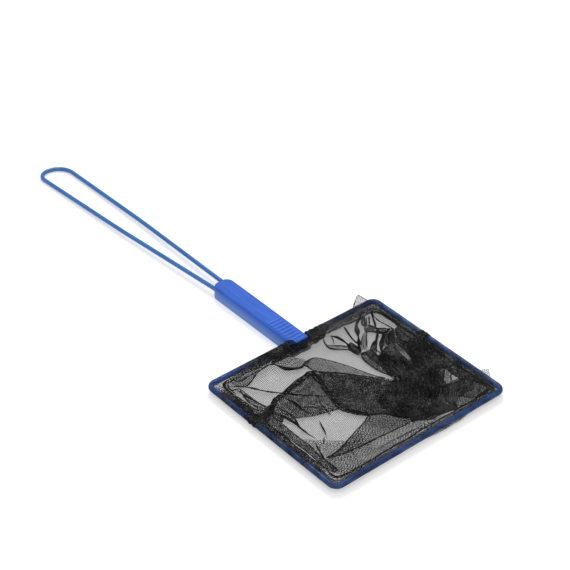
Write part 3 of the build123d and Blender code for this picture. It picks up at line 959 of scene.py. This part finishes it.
tuck([(-54.2, 18.6), (-53.7, 12.7), (-52.0, 7.1), (-50.9, 0.8), (-51.6, -5.4)], 1.0, 0.6, 57, 0.8)
tuck([(-37.2, -5.9), (-39.4, -10.8), (-42, -16.8), (-45, -21.9)], 1.1, 0.7, 45, 0.5)
tuck([(-26.1, -0.8), (-27.3, -4), (-27.9, -7.1)], 0.8, 0.5, 46, 0.5)
tuck([
    (-53.9, -20.9), (-56.2, -25.5), (-59.2, -31.9), (-61.1, -37.2), (-61.3, -42.8), (-61, -50.8),
], 1.5, 0.8, 47, 0.5)
tuck([(-45.3, -19.7), (-48.3, -22.8), (-51.4, -25.3)], 1.2, 0.5, 48, 0.3)
tuck([(-26.3, 5.6), (-27.1, -0.5), (-29.1, -7.1)], 0.9, 0.6, 49, 0.5)
tuck([
    (56, 55.2), (48.9, 51.2), (46.4, 49.5), (44.6, 47.5), (41.8, 43.2), (38, 38), (33.9, 33.2),
    (30.7, 28.7), (29.3, 26.3),
], 2.4, 1.0, 50, 0.85)
tuck([(63.6, 53), (59.7, 47), (57.9, 43.6), (55.4, 39.6)], 1.5, 0.7, 51, 0.95)
tuck([(63, 52), (61.3, 45.3), (61.8, 40.8), (62.4, 36.4), (63, 31)], 1.2, 0.6, 52, 0.95)
tuck([(59.6, 51.2), (53.3, 44)], 1.0, 0.5, 53, 0.6)
tuck([(57.6, 51.2), (51.8, 45.2)], 0.9, 0.5, 56, 0.45)
tuck([(38.3, 53.5), (36.8, 48.1), (35.8, 44.1), (35.1, 40.5), (35.7, 36)], 1.5, 0.7, 54, 0.9)
tuck([(35.1, 41.5), (34.9, 34.5)], 1.0, 0.5, 59, 0.6)
tuck([(53.9, 36.2), (49.3, 32.1), (44.7, 29.6), (39.9, 27.3), (36.6, 25.6)], 1.7, 0.8, 60, 0.9)
tuck([(57, 33), (52.7, 30.2), (49.5, 27.5), (44.4, 22.6), (40.6, 18.2)], 2.2, 1.0, 61, 0.85)
tuck([(44.6, 3), (45, -2.4), (45.3, -6.8), (45.4, -12.3), (45.9, -17.5)], 3.4, 1.0, 84, 0.95)

# Pleats that fan out through the crumpled side, each on a line somewhere between a far and a near one.
# Those in the middle start lower down.
pleat_count = 26
pleat_least, pleat_most = (0.7, 0.6), (1.9, 1.6)
pleat_far = np.array([(66, 26), (65, 8), (58, -10), (47, -27), (36, -41), (25, -49)])
pleat_near = np.array([(33, 22), (31.5, 10), (30, 0), (24, -12), (14, -22), (6, -27)])
pleat_chance = np.random.default_rng(70)
for number in range(pleat_count):
    part = (number + pleat_chance.uniform(0.1, 0.9)) / pleat_count
    start = max(pleat_chance.integers(0, 2), 2 * (0.42 < part < 0.7))
    stop = pleat_chance.integers(4, 7)
    pleat = pleat_near + part * (pleat_far - pleat_near) + pleat_chance.normal(0, 1.6, pleat_far.shape)
    width, tall = pleat_chance.uniform(pleat_least, pleat_most)
    tuck(pleat[start:stop], width, tall, 71 + number, pleat_chance.uniform(0.35, 0.9))

# Two short tucks near the rear rail.
tuck([(24.8, 51.3), (23.3, 47.7), (21.7, 44.7)], 0.8, 0.5, 55)
tuck([(8.8, 53.3), (11.1, 52), (15.7, 53.1), (18.4, 54.7)], 0.9, 0.5, 56)
net_bag = new_cloth("net_bag_mesh", bag_layers, net, ["net_bag"])

# Side seams: the two edges of the bag overlocked together in a twist of thick black yarn. The left one
# lies on the folds for all to see; the right one is buried in the crumpled side.
seam_width = 4.0
seam_pitch = 3.4
strand_radius = 0.30
edge_radius = 0.33
right_seam = [(66.5, 11.5), (60, 8), (52, -2), (46, -14), (38, -26), (28, -34), (20, -38)]
for side_name, corners in (("left", left_seam), ("right", right_seam)):
    route = smooth_line(corners, 0.35)
    length = length_along(route)
    aside = level_side(np.gradient(route, axis=0))
    twist = math.pi * length / seam_pitch + 0.9 * ripple(length, 0, 8.0, 63)
    lying = lay_at(*route.T) if side_name == "left" else sag(*route.T)
    wander = 1 + 0.12 * ripple(length, 0, 9.0, 61)
    fade = 1 - 0.8 * hump(length / length[-1], 0.86, 1.0, 0.08)
    reach = (seam_width / 2 - edge_radius) * wander * fade
    uneven = fade * (1 + 0.2 * ripple(length, length, 4.0, 62))
    strands = []
    for phase in (0.0, math.pi):
        line = route + (reach * np.sin(twist + phase))[:, None] * aside
        height = lying + 0.9 + 0.3 * np.cos(twist + phase)
        strands.append(tube(np.column_stack([line, height]), strand_radius * uneven))
        line = route + (math.cos(phase) * reach)[:, None] * aside
        strands.append(tube(np.column_stack([line, lying + 0.8]), edge_radius * uneven))
    new_cloth(f"side_seam_{side_name}_yarn", strands, yarn, [f"side_seam_{side_name}"])

# Seam tabs: the end of each side seam folded over the rail and sewn down, where the mesh is so thick
# that it is quite black.
tab_length = 7.4
tab_share = 0.8
tab_runs = {"left": hoop_marks[2] + flat_y - 15.5, "right": hoop_marks[6] + flat_y + 11.5}
tab_steps = np.linspace(-tab_length / 2, tab_length / 2, 25)
for side_name, tab_run in tab_runs.items():
    run, about = np.meshgrid(tab_run + tab_steps, np.linspace(0, 1, len(fold_in)), indexing="ij")
    crumple = ripple(run, about * 20, 4.0, 71)
    end = 1 - np.abs(tab_steps / (tab_length / 2))[:, None] ** 6
    inset = fold_in[None, :] * 1.07 + (0.2 + 0.5 * sewn) * crumple * np.sign(fold_in)[None, :]
    rise = fold_up[None, :] * (1.04 + 0.04 * end) + 0.12 * np.sign(fold_up)[None, :] * end * (1 + crumple)
    place = beside_hoop(run + (0.5 + 0.9 * sewn) * crumple, inset)
    tab_u, tab_v = run * 0.8 + about * 18, about * 24 - run * 0.6
    new_cloth(
        f"seam_tab_{side_name}_mesh",
        [layer(place[..., 0], place[..., 1], wire_height + rise, tab_u, tab_v, tab_share)],
        net, [f"seam_tab_{side_name}"],
    )

# Gathers: the ends of the casing pushed together on both sides of the grip, thick and nearly black, with
# small tufts where the cloth stands up.
gather_lengths = {"left": 27.0, "right": 28.0}
gather_leaf_gaps = {"left": 0.4, "right": 0.75}
gather_leaf_widths = {"left": 0.8, "right": 0.55}
gather_tufts = {"left": [2.6], "right": [3.8, 7.2, 12.2, 16.4]}
for side_name, gather_length in gather_lengths.items():
    steps = np.linspace(-1.0, gather_length, 110)
    bunch = np.clip((gather_length - steps) / 16, 0, 1)[:, None] ** 0.7
    leaf_gap, leaf_width = gather_leaf_gaps[side_name], gather_leaf_widths[side_name]
    gather_run = grip_half + steps
    if side_name == "right":
        gather_run = hoop_length - gather_run
    run, about = np.meshgrid(gather_run, np.arange(len(fold_in)) / len(fold_in), indexing="ij")
    ruffle = ripple(run, 9 * about, 4.6, 81) + 0.7 * ripple(run, 20 * about, 2.4, 82)
    tufts = sum(np.exp(-((steps - at) / 1.0) ** 2) for at in gather_tufts[side_name])[:, None]
    above = np.clip(fold_up / sleeve_radius, 0, 1)[None, :]
    grow = 0.93 + bunch * (0.04 + 0.05 * ruffle) + 0.42 * tufts * above
    leaf_grow = leaf_width + 0.2 * bunch + 0.14 * ruffle
    inset = fold_in[None, :] * np.where(fold_in[None, :] > 2, leaf_grow, grow)
    droop = np.clip((inset - 2.5) / 6, 0, 1) * (1.2 * bunch + 0.3)
    rise = fold_up[None, :] * grow + 0.4 * ruffle * sewn * bunch - droop
    place = beside_hoop(run, inset)
    dense = (0.05 + 0.52 * bunch) * (1 - 0.25 * tufts * above) * (1 - leaf_gap * sewn)
    new_cloth(
        f"hem_gather_{side_name}_mesh",
        [layer(place[..., 0], place[..., 1], wire_height + rise, run * 0.8, about * 16, dense)],
        net, [f"hem_gather_{side_name}"],
    )

# Nose cover: the hem drawn tight across the front of the grip from one gather to the other, with a crumple
# that stands up over the left corner. The blue of the grip shows through it.
cover_low, cover_high, cover_lift = 0.6, 6.4, 3.8
crumple_middle = (-7.2, 57.2)
crumple_long, crumple_short = 5.2, 3.2
crumple_low, crumple_tall = 4.0, 7.4
crumple_share = 0.36
cover_route = smooth_line(
    [(-24, 57.2), (-17, 57.0), (-11.4, 56.8), (-9.2, 55.9), (-8.0, 54.5), (-4, 54.1), (0, 54.4), (4, 54.1),
     (8.0, 54.5), (9.2, 55.9), (11.4, 56.8), (17, 57.0), (24, 57.2)], 0.5,
)
cover_x, up_share = np.meshgrid(cover_route[:, 0], np.linspace(0, 1, 22), indexing="ij")
cover_top = cover_high + cover_lift * hump(cover_x, -8.2, 8.2, 5.0)
cover_rough = ripple(cover_x, 7 * up_share, 4.0, 91) + 0.6 * ripple(cover_x, 9 * up_share, 2.0, 92)
cover_z = cover_low + (cover_top - cover_low) * up_share + 0.25 * cover_rough * up_share
cover_bulge = 0.35 * (1 + cover_rough) * np.sin(math.pi * up_share)
cover_y = cover_route[:, 1:] - cover_bulge - 1.6 * (1 - up_share) ** 2
cover_share = 0.50 + 0.16 * np.clip(np.abs(cover_x) / 8 - 1, 0, 1)
cover = layer(cover_x, cover_y, cover_z, cover_x, cover_z, cover_share)
reach, turn_round = np.meshgrid(np.linspace(0.02, 1, 14), np.arange(36) * 2 * math.pi / 36, indexing="ij")
long_way, short_way = crumple_long * reach * np.cos(turn_round), crumple_short * reach * np.sin(turn_round)
crumple_x = crumple_middle[0] + long_way * 0.74 + short_way * 0.67
crumple_y = crumple_middle[1] - long_way * 0.67 + short_way * 0.74
crumple_rough = ripple(crumple_x, crumple_y, 2.6, 93)
crumple_z = crumple_low + crumple_tall * np.sqrt(np.maximum(1 - reach ** 4, 0))
crumple_z = crumple_z + 0.35 * crumple_rough * (1 - reach)
crumple_v = crumple_y + crumple_z
crumple = layer(crumple_x, crumple_y, crumple_z, crumple_x, crumple_v, crumple_share, closed=True)
new_cloth("nose_cover_mesh", [cover, crumple], net, [])

bpy.context.view_layer.update()
